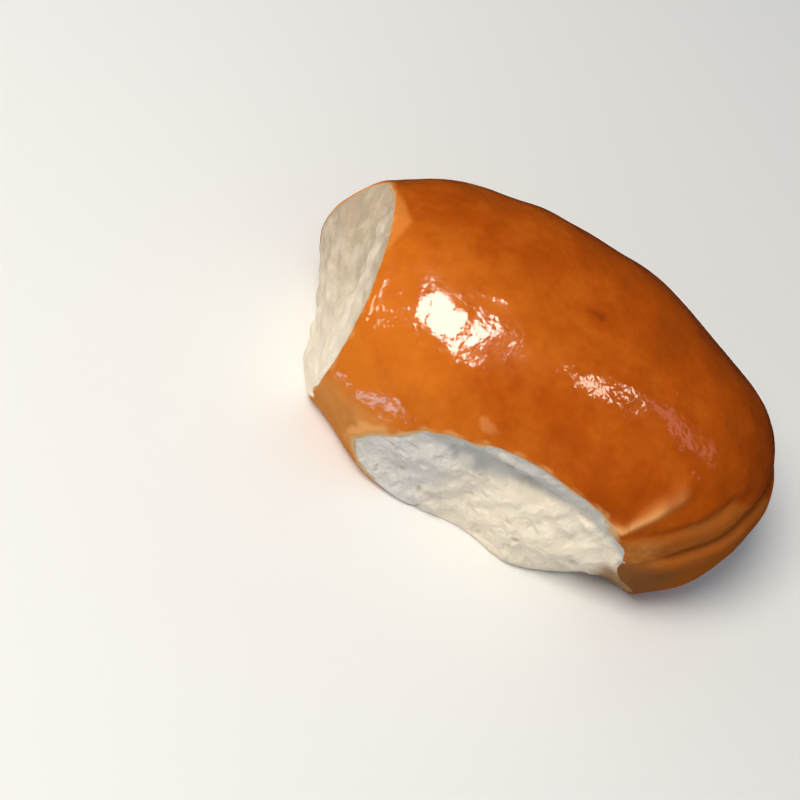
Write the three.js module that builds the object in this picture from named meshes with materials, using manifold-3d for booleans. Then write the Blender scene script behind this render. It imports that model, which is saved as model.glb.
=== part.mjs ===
// A sweet bread bun, torn from the batch it was baked in: a glazed domed crust on a flat base,
// with soft torn crumb on its front side and on its left end.
// Millimetres, +Z up, +X along the bun. The origin is under the middle of the bun, on the table.
import * as THREE from "three";
import { mergeVertices } from "three/addons/utils/BufferGeometryUtils.js";
import Module from "manifold-3d";

// ---- driving dimensions ----
const DOUGH_LENGTH = 130.5; // the whole roll, before its left end was torn away
const DOUGH_WIDTH = 75.4; // the whole roll, before its front side was torn away
const LOAF_HEIGHT = 61;
const BELLY_HEIGHT = 21.8; // height of the widest level
const BASE_SHARE = 0.72; // the flat base, as a share of the widest plan
const PLAN_POWER = 2.05; // 2 is an ellipse, more is squarer
const DOME_POWER = 2.67;
const TUCK_POWER = 2.6; // how the lower side rounds in to the base
const DOUGH_CENTRE = { x: -1.49, y: -1.14 }; // of the whole roll, in the bun's own frame

// ---- the torn front: y = place + slopes, and what stands out of it or sinks into it ----
const FRONT = { place: -32.1, alongX: 0.09, alongZ: -0.19 };
// Each mound or hollow: centre, half widths and how far it sinks into the bun (negative stands out).
const FRONT_RELIEF = [
  { x: 6.5, z: 44, wide: 31, tall: 21, sinks: 3.0 }, // the long hollow under the crust
  { x: 5, z: 33, wide: 13, tall: 4.5, sinks: 1.6 }, // the deepest part of it
  { x: 6, z: 41.5, wide: 12, tall: 1.8, sinks: -1.1 }, // a ledge of crumb above that
  { x: 22, z: 15, wide: 16, tall: 10, sinks: -3.0 }, // the big lower mound
  { x: 19, z: 1, wide: 9, tall: 8, sinks: -3.3 }, // its foot
  { x: 43, z: 2, wide: 10, tall: 10, sinks: 6.0 }, // torn away beneath it at the right
  { x: -12, z: 25, wide: 8, tall: 8, sinks: -1.6 }, // a smaller mound by the corner
  { x: -13, z: 0, wide: 13, tall: 9, sinks: -2.6 }, // and its foot
  { x: 2, z: 19, wide: 4, tall: 9, sinks: 1.5 }, // the furrow between the mounds
  { x: -34, z: 9, wide: 5, tall: 9, sinks: 2.0 }, // drawn in at the corner
];

// ---- the torn end: x = place + slopes, with one broad mound ----
const END = { place: -49.1, alongY: -0.24, alongZ: 0.02 };
const END_RELIEF = [
  { y: 14.5, z: 22.5, wide: 20.5, tall: 19, sinks: -10.3 }, // pulled out towards the back
  { y: -8, z: 33, wide: 5, tall: 12, sinks: 0.9 }, // a furrow beside the crust
  { y: -11, z: 0, wide: 6, tall: 9, sinks: -1.4 }, // a lip at its foot
  { y: -23, z: 4, wide: 7, tall: 12, sinks: 2.4 }, // drawn in at the corner
];
const END_FIBRE = { y: 8, z: 2, spacing: 6.5, height: 0.6 }; // pulled folds, as arcs under the dome
const CRAG_HEIGHT = 0.55; // coarse crumbs on both tears

// ---- the crust ----
// Each swell or dent of the crust: centre on the roll, half width and how far it stands out.
const SWELLS = [
  { x: -41, y: 20, z: 47, wide: 15, out: 0.5 }, // the back shoulder by the torn end
  { x: 31, y: 24, z: 50, wide: 13, out: -0.9 }, // the slope of the back towards the right
  { x: 53, y: 13, z: 46, wide: 12, out: 0.8 }, // the right shoulder
  { x: 62, y: -8, z: 34, wide: 9, out: -0.9 }, // the creased right end
  { x: -39, y: -28, z: 6, wide: 11, out: -3.2 }, // drawn in under the corner of the two tears
];
const WAVE_HEIGHT = 0.35; // gentle unevenness all over
const WAVE_LENGTH = 31;
// Folds that run round the right end from the torn front. at is the plan angle in degrees from +X,
// from its start to where it has climbed, and ends is where it has faded out.
const FOLDS = [
  { at: [-42, -24], ends: -19, z: [38.9, 51.5], bend: 1, wide: 1.8, out: 0.8 }, // a rolled ridge
  { at: [-41, -14], ends: -2, z: [36.4, 46.6], bend: 1, wide: 1.6, out: -0.8 }, // the dip under it
  { at: [-36, -10], ends: 16, z: [26.0, 43.2], bend: 0.7, wide: 1.8, out: -1.8 }, // the deep crease
  { at: [-36, -10], ends: 20, z: [20.0, 37.4], bend: 0.7, wide: 4.0, out: 0.6 }, // the roll below it
];
const FOLD_EARLY = 14; // degrees: folds begin this much before their start, inside the torn front
const FOLD_GROWS = 8; // and reach full depth over this much
const FOLD_FADES = 9;
const BASE_EASE = 12; // up to this height the crust's relief turns sideways, so the base stays flat

// ---- mesh steps ----
const ROUND_STEPS = 96;
const BASE_STEPS = 4;
const TUCK_STEPS = 9;
const DOME_STEPS = 27;
const TEAR_STEP = 2.3;
const FINER = 0.5; // how far the steps round the plan bunch up
const FINEST_AT = -0.3; // radians round the plan, where they are closest

const gauss = (u, halfWidth) => Math.exp(-((u / halfWidth) ** 2));
const smoothStep = (u) => {
  const t = Math.min(1, Math.max(0, u));
  return t * t * (3 - 2 * t);
};

// Gentle unevenness from a few crossed waves, between about -1 and 1.
function waves(u, v, length) {
  const k = (2 * Math.PI) / length;
  return (
    (Math.sin(k * (u + 0.31 * v) + 0.7) +
      Math.sin(k * (0.83 * v - 0.42 * u) + 2.1) +
      Math.sin(k * 1.7 * (0.55 * u + 0.71 * v) + 4.0)) /
    3
  );
}

// ---- the whole roll ----
// Half its outline, from the middle of the base up to the top, as (share of the plan, height).
function meridian() {
  const points = [];
  for (let i = 0; i < BASE_STEPS; i++)
    points.push(new THREE.Vector2((BASE_SHARE * i) / BASE_STEPS, 0));
  for (let i = 0; i < TUCK_STEPS; i++) {
    const a = (Math.PI / 2) * (1 - i / TUCK_STEPS);
    const share = BASE_SHARE + (1 - BASE_SHARE) * Math.cos(a) ** (2 / TUCK_POWER);
    points.push(
      new THREE.Vector2(share, BELLY_HEIGHT * (1 - Math.sin(a) ** (2 / TUCK_POWER))),
    );
  }
  for (let i = 0; i < DOME_STEPS; i++) {
    const a = (Math.PI / 2) * (i / DOME_STEPS);
    points.push(
      new THREE.Vector2(
        Math.cos(a) ** (2 / DOME_POWER),
        BELLY_HEIGHT + (LOAF_HEIGHT - BELLY_HEIGHT) * Math.sin(a) ** (2 / DOME_POWER),
      ),
    );
  }
  points.push(new THREE.Vector2(0, LOAF_HEIGHT));
  return points;
}

// How far the plan reaches from its centre at an angle from +X.
function planReach(angle) {
  const alongX = Math.abs(Math.cos(angle) / (DOUGH_LENGTH / 2)) ** PLAN_POWER;
  const alongY = Math.abs(Math.sin(angle) / (DOUGH_WIDTH / 2)) ** PLAN_POWER;
  return (alongX + alongY) ** (-1 / PLAN_POWER);
}

// A fold's height at a plan angle, and how strong it is there.
function foldAt(fold, degrees) {
  const [start, top] = fold.at;
  const t = Math.min(1, Math.max(0, (degrees - start) / (top - start)));
  const height = fold.z[0] + (fold.z[1] - fold.z[0]) * t ** fold.bend;
  const grows = smoothStep((degrees - start + FOLD_EARLY) / FOLD_GROWS);
  const fades = smoothStep((fold.ends - degrees) / FOLD_FADES);
  return [height, grows * fades];
}

// How far the crust stands out at a place on the roll, in the roll's own frame.
function crustRelief(x, y, z) {
  let out = WAVE_HEIGHT * (waves(x, y + z, WAVE_LENGTH) + 0.3 * waves(y - z, x, 0.6 * WAVE_LENGTH));
  for (const s of SWELLS) out += s.out * gauss(Math.hypot(x - s.x, y - s.y, z - s.z), s.wide);
  const degrees = (Math.atan2(y, x) * 180) / Math.PI;
  for (const fold of FOLDS) {
    const [height, strength] = foldAt(fold, degrees);
    out += strength * fold.out * gauss(z - height, fold.wide);
  }
  return out;
}

// A closed roll: the outline turned round, then stretched to the plan and made uneven.
function dough() {
  const geometry = new THREE.LatheGeometry(meridian(), ROUND_STEPS);
  geometry.rotateX(Math.PI / 2);
  // Mirrored, so that the mesh's diagonals run along the folds. The corners are put back in order.
  geometry.scale(1, -1, 1);
  const corners = geometry.index.array;
  for (let i = 0; i < corners.length; i += 3)
    [corners[i], corners[i + 1]] = [corners[i + 1], corners[i]];
  const place = geometry.attributes.position;
  for (let i = 0; i < place.count; i++) {
    const share = Math.hypot(place.getX(i), place.getY(i));
    const turn = share > 1e-6 ? Math.atan2(place.getY(i), place.getX(i)) : 0;
    // The mesh is finer round the folded right end, and coarser where the left end comes away.
    const angle = turn - FINER * Math.sin(turn - FINEST_AT);
    const flat = share * planReach(angle);
    const at = new THREE.Vector3(flat * Math.cos(angle), flat * Math.sin(angle), place.getZ(i));
    const outward = new THREE.Vector3(
      at.x / (DOUGH_LENGTH / 2) ** 2,
      at.y / (DOUGH_WIDTH / 2) ** 2,
      (at.z - BELLY_HEIGHT) / (LOAF_HEIGHT - BELLY_HEIGHT) ** 2,
    ).normalize();
    // The base gives only sideways, and its middle not at all.
    outward.z *= smoothStep(at.z / BASE_EASE);
    const give = at.z > 1e-6 ? 1 : share ** 2;
    at.addScaledVector(outward, give * crustRelief(at.x, at.y, at.z));
    place.setXYZ(i, DOUGH_CENTRE.x + at.x, DOUGH_CENTRE.y + at.y, at.z);
  }
  return geometry;
}

// ---- the tears, as surfaces in the roll's own frame ----
function endSurface(y, z) {
  let x = END.place + END.alongY * y + END.alongZ * (z - BELLY_HEIGHT);
  for (const r of END_RELIEF) x += r.sinks * gauss(y - r.y, r.wide) * gauss(z - r.z, r.tall);
  const ring = Math.hypot(y - END_FIBRE.y, z - END_FIBRE.z);
  const wander = 2.2 * waves(y, z, 26);
  x += END_FIBRE.height * Math.sin((2 * Math.PI * (ring + wander)) / END_FIBRE.spacing);
  return x + CRAG_HEIGHT * waves(y, z, 9);
}

function frontSurface(x, z) {
  let y = FRONT.place + FRONT.alongX * x + FRONT.alongZ * (z - BELLY_HEIGHT);
  for (const r of FRONT_RELIEF) y += r.sinks * gauss(x - r.x, r.wide) * gauss(z - r.z, r.tall);
  return y + CRAG_HEIGHT * (waves(x, z, 11) + 0.8 * waves(z, x, 6.2));
}

// A block of what was torn away. Its inner face is the torn surface, and the rest is clear of the roll.
// wide is its length along the tear. shape gives a vertex its x and y, from whether it is on the inner
// face and its places along the tear and up.
const OUTSIDE = 12; // how far the blocks reach past the roll
function tornAway(wide, shape) {
  const low = -OUTSIDE;
  const high = LOAF_HEIGHT + OUTSIDE;
  const geometry = new THREE.BoxGeometry(
    1,
    wide,
    high - low,
    1,
    Math.round(wide / TEAR_STEP),
    Math.round((high - low) / TEAR_STEP),
  );
  const place = geometry.attributes.position;
  for (let i = 0; i < place.count; i++) {
    const z = place.getZ(i) + (high + low) / 2;
    const [x, y] = shape(place.getX(i) > 0, place.getY(i), z);
    place.setXYZ(i, DOUGH_CENTRE.x + x, DOUGH_CENTRE.y + y, z);
  }
  return geometry;
}

const endBlock = () =>
  tornAway(DOUGH_WIDTH + 2 * OUTSIDE, (inner, along, z) => [
    inner ? endSurface(along, z) : -DOUGH_LENGTH / 2 - OUTSIDE,
    along,
  ]);
const frontBlock = () =>
  tornAway(DOUGH_LENGTH + 2 * OUTSIDE, (inner, along, z) => [
    -along,
    inner ? frontSurface(-along, z) : -DOUGH_WIDTH / 2 - OUTSIDE,
  ]);

// ---- solids ----
const wasm = await Module();
wasm.setup();

function solidOf(geometry) {
  const bare = geometry.clone();
  bare.deleteAttribute("normal");
  bare.deleteAttribute("uv");
  const merged = mergeVertices(bare, 1e-4);
  return new wasm.Manifold(
    new wasm.Mesh({
      numProp: 3,
      vertProperties: new Float32Array(merged.attributes.position.array),
      triVerts: new Uint32Array(merged.index.array),
    }),
  );
}

function geometryOf(solid) {
  const mesh = solid.getMesh();
  const geometry = new THREE.BufferGeometry();
  geometry.setAttribute("position", new THREE.BufferAttribute(mesh.vertProperties, 3));
  geometry.setIndex(new THREE.BufferAttribute(mesh.triVerts, 1));
  geometry.computeVertexNormals();
  return geometry;
}

const torn = solidOf(dough()).subtract(solidOf(endBlock())).subtract(solidOf(frontBlock()));

const loaf = new THREE.Mesh(
  geometryOf(torn),
  new THREE.MeshStandardMaterial({ color: 0xb85416, roughness: 0.3, metalness: 0 }),
);
loaf.name = "loaf";

const bun = new THREE.Group();
bun.add(loaf);
export default bun;
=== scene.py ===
import math

import bmesh
import bpy
import numpy as np
from mathutils import Matrix, Vector
from mathutils.bvhtree import BVHTree


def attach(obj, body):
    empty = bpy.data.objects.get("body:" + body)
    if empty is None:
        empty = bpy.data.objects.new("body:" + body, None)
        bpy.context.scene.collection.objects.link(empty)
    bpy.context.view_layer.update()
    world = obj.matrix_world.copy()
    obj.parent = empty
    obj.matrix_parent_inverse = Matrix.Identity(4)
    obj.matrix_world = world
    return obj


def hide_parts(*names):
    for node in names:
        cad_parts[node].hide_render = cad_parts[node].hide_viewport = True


# A sweet bread bun that was torn from the tray it was baked in: a thin glossy crust round soft crumb,
# on a pale table. The whole roll is modelled first, and then its front side and left end are torn away.
# Shapes are worked out in millimetres in the whole roll's own frame: +X along it, +Z up, the table at 0.
# Rows of unevenness say how large its lumps are, how high, and give each its own seed. A fade is a pair:
# where something starts, and where it is full.

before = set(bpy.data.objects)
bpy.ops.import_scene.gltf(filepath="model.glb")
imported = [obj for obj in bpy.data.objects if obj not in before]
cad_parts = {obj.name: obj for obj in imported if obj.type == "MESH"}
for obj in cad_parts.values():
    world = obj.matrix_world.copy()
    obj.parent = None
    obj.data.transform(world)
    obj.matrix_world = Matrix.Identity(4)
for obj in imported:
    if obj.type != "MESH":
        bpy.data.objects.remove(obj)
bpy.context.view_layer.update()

MM = 0.001
ROLL_CENTRE = (-1.49, -1.14, 0.0)  # of the whole roll, in the bun's frame

# ---- the whole roll ----
ROLL_LENGTH = 130.5
ROLL_WIDTH = 75.4
ROLL_HEIGHT = 61.0
BELLY_HEIGHT = 21.8  # height of the widest level
BASE_SHARE = 0.72  # the flat base, as a share of the widest plan
PLAN_POWER = 2.05
DOME_POWER = 2.67
TUCK_POWER = 2.6
BASE_LIFT = math.radians(50)  # directions lower than this meet the flat base
BASE_EASE = 12.0  # below this height relief stands out more and more level
DETAIL_EASE = 3.0  # below this height the skin's fine detail fades

# Swells and dents of the crust: centre, half width, how far it stands out.
SWELLS = [
    ((-41, 20, 47), 15, 0.5),
    ((31, 24, 50), 13, -0.9),
    ((53, 13, 46), 12, 0.8),
    ((62, -8, 34), 9, -0.9),
    ((-39, -28, 6), 11, -3.2),
]
# Small blisters and pits of the skin, in the same terms.
BLISTERS = [
    ((-6.0, -32.0, 48.0), 2.2, 0.5),
    ((-2.0, -30.0, 50.5), 1.8, 0.3),
    ((2.4, 0.8, 61), 1.5, -0.45),
    ((-17, -9, 60), 1.7, 0.12),
    ((3, -7, 60.5), 1.6, 0.25),
    ((26, -3, 59.5), 1.8, 0.25),
    ((-30, -3, 59), 1.7, 0.25),
]
DIMPLES = [(9, 0.14, 11), (4.5, 0.06, 12), (2.6, 0.02, 13)]
WAVE_HEIGHT, WAVE_LENGTH = 0.35, 31.0
SMALL_WAVE_HEIGHT, SMALL_WAVE_LENGTH = 0.3, 0.6  # as shares of those
# The skin curls up a little along the torn end: how far, how wide, how far behind the tear, and how far
# above the belly it is full.
LIP_HEIGHT, LIP_HALF, LIP_INSET, LIP_RISE = 0.35, 1.4, 1.0, 8
LIP_SHARE, LIP_UNEVEN = 0.8, [(7, 0.8, 14)]
# Folds round the right end: plan angles where it starts and has climbed, where it appears and is full,
# where it ends, heights, bend, half width, how far it stands out.
FOLDS = [
    ((-42, -24), (-50, -43), -19, (38.9, 51.5), 0.6, 1.8, 0.9),
    ((-41, -14), (-48, -38), -2, (36.4, 46.6), 1.0, 1.6, -0.8),
    ((-36, -10), (-38, -24), 16, (24.5, 40.8), 0.7, 1.8, -1.9),
    ((-36, -10), (-42, -28), 20, (18.5, 35.0), 0.7, 4.0, 0.6),
]
FOLD_FADES = 9.0  # degrees over which a fold ends
FOLD_AT_TEAR, FOLD_EASE = 0.3, 6.0  # share of a fold left at the torn front, and where it is whole

# ---- the two tears: place and slopes, then centre, half widths and how far each hollow sinks ----
FRONT_PLACE, FRONT_ALONG_X, FRONT_ALONG_Z = -32.1, 0.09, -0.19
FRONT_RELIEF = [
    ((6.5, 44), (31, 21), 3.0),
    ((5, 33), (13, 4.5), 1.6),
    ((6, 41.5), (12, 1.8), -1.1),
    ((22, 15), (16, 10), -3.0),
    ((19, 1), (9, 8), -3.3),
    ((43, 2), (10, 10), 6.0),
    ((-12, 25), (8, 8), -1.6),
    ((-13, 0), (13, 9), -2.6),
    ((2, 19), (4, 9), 1.5),
    ((-34, 9), (5, 9), 2.0),
]
END_PLACE, END_ALONG_Y, END_ALONG_Z = -49.1, -0.24, 0.02
END_RELIEF = [
    ((14.5, 22.5), (20.5, 19), -10.3),
    ((-8, 33), (5, 12), 0.9),
    ((-11, 0), (6, 9), -1.4),
    ((-23, 4), (7, 12), 2.4),
]
CRAG_HEIGHT = 0.55
FRONT_CRAG_LENGTH, END_CRAG_LENGTH = 11, 9
FINE_CRAG_LENGTH, FINE_CRAG_SHARE = 6.2, 0.8
FIBRE_MIDDLE = (8.0, 2.0)  # the end's pulled folds are arcs round this (y, z)
FIBRE_SPACING, FIBRE_HEIGHT = 6.5, 0.35
FIBRE_BEND, FIBRE_BEND_LENGTH = 2.2, 26
FIBRE_SHARE, FIBRE_UNEVEN = 0.6, [(12, 0.7, 34)]
# Long soft folds slant across the torn end: where (z less y, over the root of 2), half width, how deep.
PULLED_FOLDS = [(36.5, 4.0, -0.9), (28.5, 2.6, 1.1), (18.0, 5.0, -0.8), (10.5, 2.4, 0.6)]
PULLED_UNEVEN, PULLED_EASE, PULLED_SHADE = [(10, 1.2, 36)], 2, 0.3
RIM_EASE = 4.0  # the tears are smoother this near the crust
# Pits and creases of the torn front: middle (x, z), half widths, how deep.
FRONT_PITS = [
    ((-15.2, 13.9), (1.1, 1.2), 1.0),
    ((-8.6, 9.1), (0.7, 1.6), 0.9),
    ((-6.2, 1.5), (1.0, 1.5), 0.6),
    ((-17.3, 6.2), (0.8, 1.8), 0.5),
    ((-19.7, 23.8), (1.8, 0.9), 0.5),
    ((-16.7, 27.6), (1.8, 0.9), 0.5),
    ((-24.5, 16.4), (1.5, 1.2), 0.4),
    ((1.8, 17.6), (0.9, 1.0), 0.6),
    ((4.4, 20.5), (0.9, 0.9), 0.5),
    ((12.7, 18.5), (1.2, 0.8), 0.5),
    ((26.0, 34.6), (2.4, 0.9), 0.7),
    ((31.7, 15.1), (1.9, 1.4), 0.6),
]
PIT_UNEVEN, PIT_SHADE = [(1.5, 0.4, 37)], 0.8
# A band of the torn front's crumb under the crust lies deeper and is painted grey, as painted shade: x, and
# how far down from the crust.
SHADED_BAND_REACH = [(-22, 0), (-14, 7), (-9, 12), (-6, 17), (2, 19), (13, 15), (23, 10), (34, 8), (42, 9)]
SHADED_BAND_UNEVEN, SHADED_BAND_SOFT = [(6, 2, 53)], 3.5
SHADED_BAND_DEPTH, SHADED_BAND_DEPTH_FADE = 1.2, (5, 10)  # how much deeper it lies, this far under the crust

# ---- relief of the torn crumb ----
CRUMB_SWELLS = [(9, 0.6, 22), (4.5, 0.4, 23)]
STRAND_SLIMNESS, STRAND_UNEVEN = 0.35, [(7, 1.6, 21)]
FRONT_STRANDS = 1.9  # the front's strands are this much shorter
# Creases: size and seed. They lie where the unevenness is nearer to 0 than the crest.
CREASE, FINE_CREASE, CREASE_CREST = (4.6, 24), (2.1, 25), 0.25
FRONT_CREASED, END_CREASED, FINE_CREASED = 0.5, 0.35, 0.15  # how deep
OPEN_SHARE, OPEN_UNEVEN = 0.2, [(11, 0.9, 26)]  # where the crumb is open
# Bubbles: how far apart, how large a share of that, depths in dense and in open crumb, seed.
PORES = [(4.4, 0.27, 0.0, 0.9, 27), (2.1, 0.34, 0.1, 0.5, 28), (1.1, 0.38, 0.3, 0.3, 29)]
STRAND_TUFTS, TUFTS = [(1.9, 0.26, 30)], [(1.1, 0.22, 33)]
BOLD_INSIDE, FINE_INSIDE, FINE_AT_SKIN = 2.2, 1.2, 0.15  # relief is full this far inside the skin
PORE_SHADE, CREASE_SHADE = 0.9, 1.2
# The front is smoother at its right, and the end is smoother below: least share, fade in x or z.
FRONT_ROUGH, FRONT_ROUGH_FADE = 0.75, (6, -8)
END_ROUGH, END_ROUGH_FADE = 0.55, (38, 48)
EDGE_SHADE, EDGE_SHADE_HALF, EDGE_SHADE_FADE = 0.5, 0.6, (-2, -8)  # a shaded line under the crust's edge
SHIFT_SIZE, SHIFT_HEIGHT = 1.9, 0.25
FRONT_SHIFTS, END_SHIFTS = [(0, 41), (2, 42)], [(1, 43), (2, 44)]  # axis and seed

# ---- crust and mesh ----
CRUST_THICKNESS = 0.6
CRUMB_INSET = 0.38  # of the crumb's hidden sides, inside the crust
FOLD_CLEARANCE, CLEARANCE_SPREAD = 3.0, 1.6  # how much deeper both lie under the folds, and how widely
CRUST_CUTS = 112  # of the crust's outside
LINING_CUTS = 60  # of the crust's inside
CRUMB_CUTS = 76  # of the crumb's hidden sides
CRUMB_STEP = 0.3
RIM_STEP = 0.6
BASE_SETBACK, SETBACK_HEIGHT = 1.8, 4  # how far the base's torn edge hides behind the crumb
TORN_UNEVEN, TORN_OVERHANG = [(6, 0.16, 31), (2.2, 0.1, 32)], 0.1
PALE_RIM = (-27.5, -34.2, 22.5)  # the crust's torn edge is widest and palest here
LOW_CORNER = (41.0, -29.0, 23.5)  # the torn front ends here, at the low wall
CORNER_OVERHANG, CORNER_HALF = 0.15, 9  # the crust covers more at both
FRONT_LOW, FRONT_HIGH = (-62.0, -6.0), (62.0, 58.0)  # corners of the torn front's block
END_LOW, END_HIGH = (-44.0, -6.0), (44.0, 64.0)
OUTSIDE = 12.0  # how far the torn-away blocks reach past the roll
CRUST_SHARP, CRUMB_SHARP = 50, 80  # edges sharper than this, in degrees, show

# ---- how the crust is baked and glazed, with painted shade and a painted highlight ----
# The bake grows darker to the right and back: partly baking, partly painted shade where less light falls.
BAKE_AND_SHADE_MIDDLE, BAKE_AND_SHADE_ALONG_X, BAKE_AND_SHADE_ALONG_Y = 0.40, 0.0045, 0.0055
# Spots of the crust: centre, half width, how much darker they are painted. The small dark mark is baked,
# and the broad darker spots on the top and along the torn front are painted shade.
BAKED_AND_SHADED_SPOTS = [
    ((-38, -31, 30), 9, -0.3),
    ((2.4, 0.8, 61), 1.3, 0.65),
    ((-41, 8, 55), 12, 0.2),
    ((-28, 6, 58), 10, 0.09),
    ((-7, -28, 53), 9, 0.2),
    ((9, -28, 52), 9, 0.2),
    ((25, -30, 46), 8, 0.2),
    ((33, -2, 58), 10, -0.1),
    ((-12, 6, 60), 7, 0.05),
    ((44, -27, 32), 7, -0.1),
]
CRESCENT_PALER, RIDGE_HIGHLIGHT_PALER = 0.25, 0.35
# A crescent of stretched skin beside the torn end: its middle, half length, width, soft edge.
CRESCENT_MIDDLE, CRESCENT_HALF, CRESCENT_WIDE, CRESCENT_SOFT = -1.5, 11, 4.4, 1.5
# A painted highlight lies along the first fold's ridge near the torn front: share, fade in plan angle.
RIDGE_HIGHLIGHT_FADES, RIDGE_HIGHLIGHT_SPREAD = [(0.75, (-31, -37)), (0.25, (-24, -29))], 0.8
# A small pale pucker above the torn front: middle, how long for its width, ragged edge, fade.
FOLD_MARK, MARK_LENGTH, MARK_UNEVEN, MARK_FADE = (-6.1, -32.9, 47.4), 1.3, [(1.8, 0.9, 55)], (2.4, 1.3)
CRESCENT_PAINT, MARK_PAINT = 0.14, 0.22
# The lower edge of the egg wash: plan angle from the rounded end, height, how soft it is.
WASH_EDGE = [
    (-180, 24, 9),
    (-150, 26, 12),
    (-110, 30, 8),
    (-60, 31, 3),
    (-40, 36.3, 1.6),
    (-30, 39.8, 1.8),
    (-25, 42.9, 1.8),
    (-17.6, 46.5, 1.8),
    (-13, 46.2, 1.6),
    (-6, 41.9, 1.4),
    (2, 39, 1.5),
    (30, 30, 2),
    (60, 25, 2),
    (90, 27, 2),
    (120, 23, 2),
    (150, 26, 3),
    (180, 24, 9),
]
DRIPS, DRIP_STRETCH = [(13, 2.2, 51), (5, 1.1, 52)], 0.25
# The wash drips least at the folds: their plan angle, the share of the drips, fade in degrees from them.
FOLDED_SIDE, DRIP_LEAST, DRIP_FADE = -27, 0.25, (12, 32)
# The skin is plain where the front's tear meets the right end, and its torn edge shows less.
PLAIN_RIM_FADE, PLAIN_SKIN, PLAIN_TORN = (31, 37), 0.9, 1.2
PALE_RIM_REACH, PALE_RIM_HALF, TORN_LIMIT = 1.1, 6, 20
# The low wall beside the torn front is dull: fades in height, in plan angle, and from the middle.
DULL_FADES = (30, 24), (-17, -25), (-70, -50), (22, 34)

# ---- how the crumb is toasted, and where light and shade are painted on it ----
CORNER_BLEND = (-2, 2)  # from the front's crumb to the end's
# The torn end is darker towards its top: toasting, and painted shade.
TOAST_AND_SHADE_RISE, TOAST_AND_SHADE_MIDDLE = 0.0205, 0.13
# Painted light along the torn end's raised first fold: half width, how much paler.
LIT_STRIP_HALF, LIT_STRIP_PALER = 4.5, 0.35
NEAR_CRUST_FADE, NEAR_CRUST_TOAST = (2.5, 0), 0.15
# Painted grey shade in the band under the crust: how strong, and its unevenness.
BAND_SHADE_PAINT, BAND_SHADE_UNEVEN = 0.85, [(3.5, 0.4, 54)]
COOL_SHADE_FADES = (2, -12), (-33, -23)  # painted cool shade on the front's left part
# Painted tan shade on the torn front's low right tip: how strong, unevenness, fades in x and in height.
SHADED_TIP, SHADED_TIP_UNEVEN, SHADED_TIP_FADES = 0.92, [(5, 3, 56)], ((34.5, 41.5), (26, 17))


def gauss(u, half_width):
    return np.exp(-((u / half_width) ** 2))


def near(points, centre, half_width):
    """1 at a place, fading round it."""
    return gauss(np.linalg.norm(points - centre, axis=1), half_width)


def smooth_step(u):
    t = np.clip(u, 0, 1)
    return t * t * (3 - 2 * t)


def ramp(u, start, full):
    """0 where u is at start and 1 where it is at full, which may be the lower one."""
    return smooth_step((u - start) / (full - start))


def waves(u, v, length):
    """Gentle unevenness from a few crossed waves, between about -1 and 1."""
    k = 2 * math.pi / length
    return (
        np.sin(k * (u + 0.31 * v) + 0.7)
        + np.sin(k * (0.83 * v - 0.42 * u) + 2.1)
        + np.sin(k * 1.7 * (0.55 * u + 0.71 * v) + 4.0)
    ) / 3


CELLS = 32  # random tables repeat after this many cells
LUMP_GAIN = 1.6  # brings lumps to between about -1 and 1
LEAST_BUBBLE = 0.4  # the smallest bubble, as a share of the largest


def scattered(seed, kinds):
    return np.random.default_rng(seed).random((CELLS, CELLS, CELLS, kinds))


def lumps(points, size, seed):
    """Smooth unevenness between about -1 and 1, in lumps about size millimetres across."""
    slopes = scattered(seed, 3) * 2 - 1
    spots = points / size
    corner = np.floor(spots).astype(int)
    total = np.zeros(len(points))
    for step in np.ndindex(2, 2, 2):
        here = corner + step
        away = spots - here
        slope = slopes[tuple((here % CELLS).T)]
        total += np.prod(smooth_step(1 - np.abs(away)), axis=1) * (slope * away).sum(axis=1)
    return total * LUMP_GAIN


def uneven(points, rows):
    """Unevenness in rows of size, height and seed."""
    return sum(height * lumps(points, size, seed) for size, height, seed in rows)


def bubbles(points, size, fill, seed):
    """How deep, in millimetres, round bubbles are where a torn surface passes through them."""
    centres = scattered(seed, 4)
    spots = points / size
    corner = np.floor(spots).astype(int)
    deepest = np.zeros(len(points))
    for step in np.ndindex(3, 3, 3):
        here = corner + step - 1
        bubble = centres[tuple((here % CELLS).T)]
        radius = fill * (LEAST_BUBBLE + (1 - LEAST_BUBBLE) * bubble[:, 3])
        gap = ((here + bubble[:, :3] - spots) ** 2).sum(axis=1)
        deepest = np.maximum(deepest, np.sqrt(np.clip(radius**2 - gap, 0, None)))
    return deepest * size


# ---- shapes ----
def plan_angle(x, y):
    """Degrees round the roll from its rounded end."""
    return np.degrees(np.arctan2(y, x))


def plan_reach(angle):
    """How far the plan reaches from its centre at an angle from +X."""
    along_x = np.abs(np.cos(angle) / (ROLL_LENGTH / 2)) ** PLAN_POWER
    along_y = np.abs(np.sin(angle) / (ROLL_WIDTH / 2)) ** PLAN_POWER
    return (along_x + along_y) ** (-1 / PLAN_POWER)


def under_skin(points):
    """About how far points are inside the roll's plain surface."""
    x, y, z = points.T
    level = np.hypot(x, y) / plan_reach(np.arctan2(y, x))
    rise = (z - BELLY_HEIGHT) / (ROLL_HEIGHT - BELLY_HEIGHT)
    share = (np.abs(level) ** DOME_POWER + np.clip(rise, 0, None) ** DOME_POWER) ** (1 / DOME_POWER)
    from_middle = np.linalg.norm(points - [0, 0, BELLY_HEIGHT], axis=1)
    inside_dome = from_middle * (1 / np.maximum(share, 0.01) - 1)
    sunk = np.clip(1 - z / BELLY_HEIGHT, 0, 1)
    low_share = BASE_SHARE + (1 - BASE_SHARE) * (1 - sunk**TUCK_POWER) ** (1 / TUCK_POWER)
    inside_wall = (low_share - level) * plan_reach(np.arctan2(y, x))
    return np.where(z > BELLY_HEIGHT, inside_dome, np.minimum(inside_wall, z))


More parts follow.
